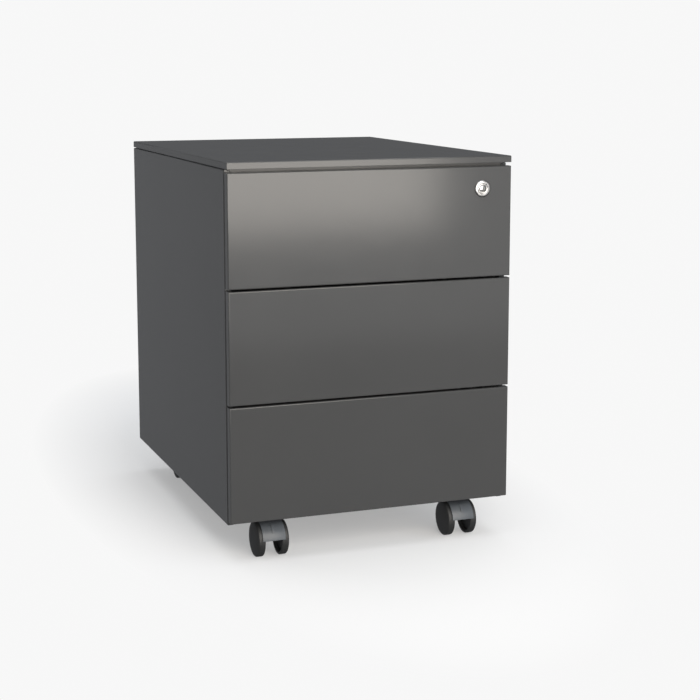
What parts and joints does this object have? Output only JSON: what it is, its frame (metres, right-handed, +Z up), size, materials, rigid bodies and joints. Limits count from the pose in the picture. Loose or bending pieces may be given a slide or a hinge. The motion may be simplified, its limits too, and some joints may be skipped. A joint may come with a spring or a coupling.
{
  "type": "filing cabinet",
  "caption": "Mobile sheet-steel drawer pedestal with handle-less overlay drawer fronts, telescopic slides, a cam lock with a lift bar and twin-wheel castors.",
  "frame": {"origin": "on the floor, under the middle of the cabinet", "axes": "+X to the right and +Y to the back, seen from in front of the drawers, +Z up; the drawers open towards -Y"},
  "size_m": [0.42, 0.5558, 0.558],
  "materials": {
    "body_paint": "anthracite grey satin powder coat, fine texture",
    "front_paint": "anthracite grey satin powder coat, smooth",
    "inner_paint": "anthracite grey satin powder coat",
    "zinc_steel": "zinc-plated cold-rolled steel, satin",
    "screw_steel": "zinc-plated steel",
    "lock_chrome": "polished chrome plate",
    "plug_chrome": "satin chrome plate",
    "castor_plastic": "charcoal nylon, semi-gloss",
    "wheel_plastic": "near-black nylon, satin",
    "buffer_rubber": "matt"
  },
  "bodies": {
    "cabinet": {"top_panel": "body_paint", "left_side_panel": "body_paint", "right_side_panel": "body_paint", "back_panel": "inner_paint", "base_panel": "inner_paint", "top_front_rail": "inner_paint", "left_uprights": "inner_paint", "right_uprights": "inner_paint", "castor_plates": "zinc_steel", "castor_stems": "zinc_steel", "castor_nuts": "zinc_steel", "body_screws": "screw_steel", "lock_bar_guides": "buffer_rubber", "drawer_bumpers": "buffer_rubber", "cabinet_slides_1": "zinc_steel", "cabinet_slides_2": "zinc_steel", "cabinet_slides_3": "zinc_steel"},
    "upper_drawer": {"drawer_1_front": "front_paint", "drawer_1_front_liner": "inner_paint", "drawer_1_box": "inner_paint", "drawer_1_slides": "zinc_steel", "drawer_1_screws": "screw_steel", "drawer_1_catch": "zinc_steel", "lock_housing": "lock_chrome", "lock_nut": "zinc_steel"},
    "upper_drawer_slide_members": {"middle_slides_1": "zinc_steel"},
    "middle_drawer": {"drawer_2_front": "front_paint", "drawer_2_front_liner": "inner_paint", "drawer_2_box": "inner_paint", "drawer_2_slides": "zinc_steel", "drawer_2_screws": "screw_steel", "drawer_2_catch": "zinc_steel"},
    "middle_drawer_slide_members": {"middle_slides_2": "zinc_steel"},
    "lower_drawer": {"drawer_3_front": "front_paint", "drawer_3_front_liner": "inner_paint", "drawer_3_box": "inner_paint", "drawer_3_slides": "zinc_steel", "drawer_3_screws": "screw_steel", "drawer_3_catch": "zinc_steel"},
    "lower_drawer_slide_members": {"middle_slides_3": "zinc_steel"},
    "lock_plug": {"lock_plug": "plug_chrome", "lock_crank": "zinc_steel", "crank_screw": "screw_steel"},
    "lock_bar": {"lock_bar": "zinc_steel"},
    "front_left_castor": {"front_left_castor_hood": "castor_plastic", "front_left_castor_axle": "zinc_steel"},
    "front_left_left_wheel": {"front_left_castor_left_wheel": "wheel_plastic"},
    "front_left_right_wheel": {"front_left_castor_right_wheel": "wheel_plastic"},
    "front_right_castor": {"front_right_castor_hood": "castor_plastic", "front_right_castor_axle": "zinc_steel"},
    "front_right_left_wheel": {"front_right_castor_left_wheel": "wheel_plastic"},
    "front_right_right_wheel": {"front_right_castor_right_wheel": "wheel_plastic"},
    "rear_left_castor": {"rear_left_castor_hood": "castor_plastic", "rear_left_castor_axle": "zinc_steel"},
    "rear_left_left_wheel": {"rear_left_castor_left_wheel": "wheel_plastic"},
    "rear_left_right_wheel": {"rear_left_castor_right_wheel": "wheel_plastic"},
    "rear_right_castor": {"rear_right_castor_hood": "castor_plastic", "rear_right_castor_axle": "zinc_steel"},
    "rear_right_left_wheel": {"rear_right_castor_left_wheel": "wheel_plastic"},
    "rear_right_right_wheel": {"rear_right_castor_right_wheel": "wheel_plastic"}
  },
  "joints": [
    {"name": "upper_drawer_slide", "type": "slide", "parent": "cabinet", "child": "upper_drawer", "axis": [0, -1, 0], "range_m": [0, 0.43]},
    {"name": "middle_drawer_slide", "type": "slide", "parent": "cabinet", "child": "middle_drawer", "axis": [0, -1, 0], "range_m": [0, 0.43]},
    {"name": "lower_drawer_slide", "type": "slide", "parent": "cabinet", "child": "lower_drawer", "axis": [0, -1, 0], "range_m": [0, 0.43]},
    {"name": "upper_drawer_members_slide", "type": "slide", "parent": "cabinet", "child": "upper_drawer_slide_members", "axis": [0, -1, 0], "range_m": [0, 0.215]},
    {"name": "middle_drawer_members_slide", "type": "slide", "parent": "cabinet", "child": "middle_drawer_slide_members", "axis": [0, -1, 0], "range_m": [0, 0.215]},
    {"name": "lower_drawer_members_slide", "type": "slide", "parent": "cabinet", "child": "lower_drawer_slide_members", "axis": [0, -1, 0], "range_m": [0, 0.215]},
    {"name": "lock_turn", "type": "hinge", "parent": "upper_drawer", "child": "lock_plug", "pos_m": [0.1649, -0.2765, 0.5119], "axis": [0, -1, 0], "range_deg": [0, 90]},
    {"name": "lock_bar_lift", "type": "slide", "parent": "cabinet", "child": "lock_bar", "axis": [0, 0, 1], "range_m": [0, 0.01131]},
    {"name": "front_left_castor_swivel", "type": "hinge", "parent": "cabinet", "child": "front_left_castor", "pos_m": [-0.1446, -0.222, 0.043], "axis": [0, 0, 1], "continuous": true},
    {"name": "front_left_left_wheel_spin", "type": "hinge", "parent": "front_left_castor", "child": "front_left_left_wheel", "pos_m": [-0.1619, -0.242, 0.025], "axis": [1, 0, 0], "continuous": true},
    {"name": "front_left_right_wheel_spin", "type": "hinge", "parent": "front_left_castor", "child": "front_left_right_wheel", "pos_m": [-0.1273, -0.242, 0.025], "axis": [1, 0, 0], "continuous": true},
    {"name": "front_right_castor_swivel", "type": "hinge", "parent": "cabinet", "child": "front_right_castor", "pos_m": [0.1446, -0.222, 0.043], "axis": [0, 0, 1], "continuous": true},
    {"name": "front_right_left_wheel_spin", "type": "hinge", "parent": "front_right_castor", "child": "front_right_left_wheel", "pos_m": [0.1273, -0.242, 0.025], "axis": [1, 0, 0], "continuous": true},
    {"name": "front_right_right_wheel_spin", "type": "hinge", "parent": "front_right_castor", "child": "front_right_right_wheel", "pos_m": [0.1619, -0.242, 0.025], "axis": [1, 0, 0], "continuous": true},
    {"name": "rear_left_castor_swivel", "type": "hinge", "parent": "cabinet", "child": "rear_left_castor", "pos_m": [-0.1446, 0.222, 0.043], "axis": [0, 0, 1], "continuous": true},
    {"name": "rear_left_left_wheel_spin", "type": "hinge", "parent": "rear_left_castor", "child": "rear_left_left_wheel", "pos_m": [-0.1619, 0.202, 0.025], "axis": [1, 0, 0], "continuous": true},
    {"name": "rear_left_right_wheel_spin", "type": "hinge", "parent": "rear_left_castor", "child": "rear_left_right_wheel", "pos_m": [-0.1273, 0.202, 0.025], "axis": [1, 0, 0], "continuous": true},
    {"name": "rear_right_castor_swivel", "type": "hinge", "parent": "cabinet", "child": "rear_right_castor", "pos_m": [0.1446, 0.222, 0.043], "axis": [0, 0, 1], "continuous": true},
    {"name": "rear_right_left_wheel_spin", "type": "hinge", "parent": "rear_right_castor", "child": "rear_right_left_wheel", "pos_m": [0.1273, 0.202, 0.025], "axis": [1, 0, 0], "continuous": true},
    {"name": "rear_right_right_wheel_spin", "type": "hinge", "parent": "rear_right_castor", "child": "rear_right_right_wheel", "pos_m": [0.1619, 0.202, 0.025], "axis": [1, 0, 0], "continuous": true}
  ],
  "couplings": [
    {"joint": "upper_drawer_members_slide", "follows": "upper_drawer_slide", "ratio": 0.5},
    {"joint": "middle_drawer_members_slide", "follows": "middle_drawer_slide", "ratio": 0.5},
    {"joint": "lower_drawer_members_slide", "follows": "lower_drawer_slide", "ratio": 0.5},
    {"joint": "lock_turn", "follows": "lock_bar_lift", "rad_per_m": 138.84}
  ]
}
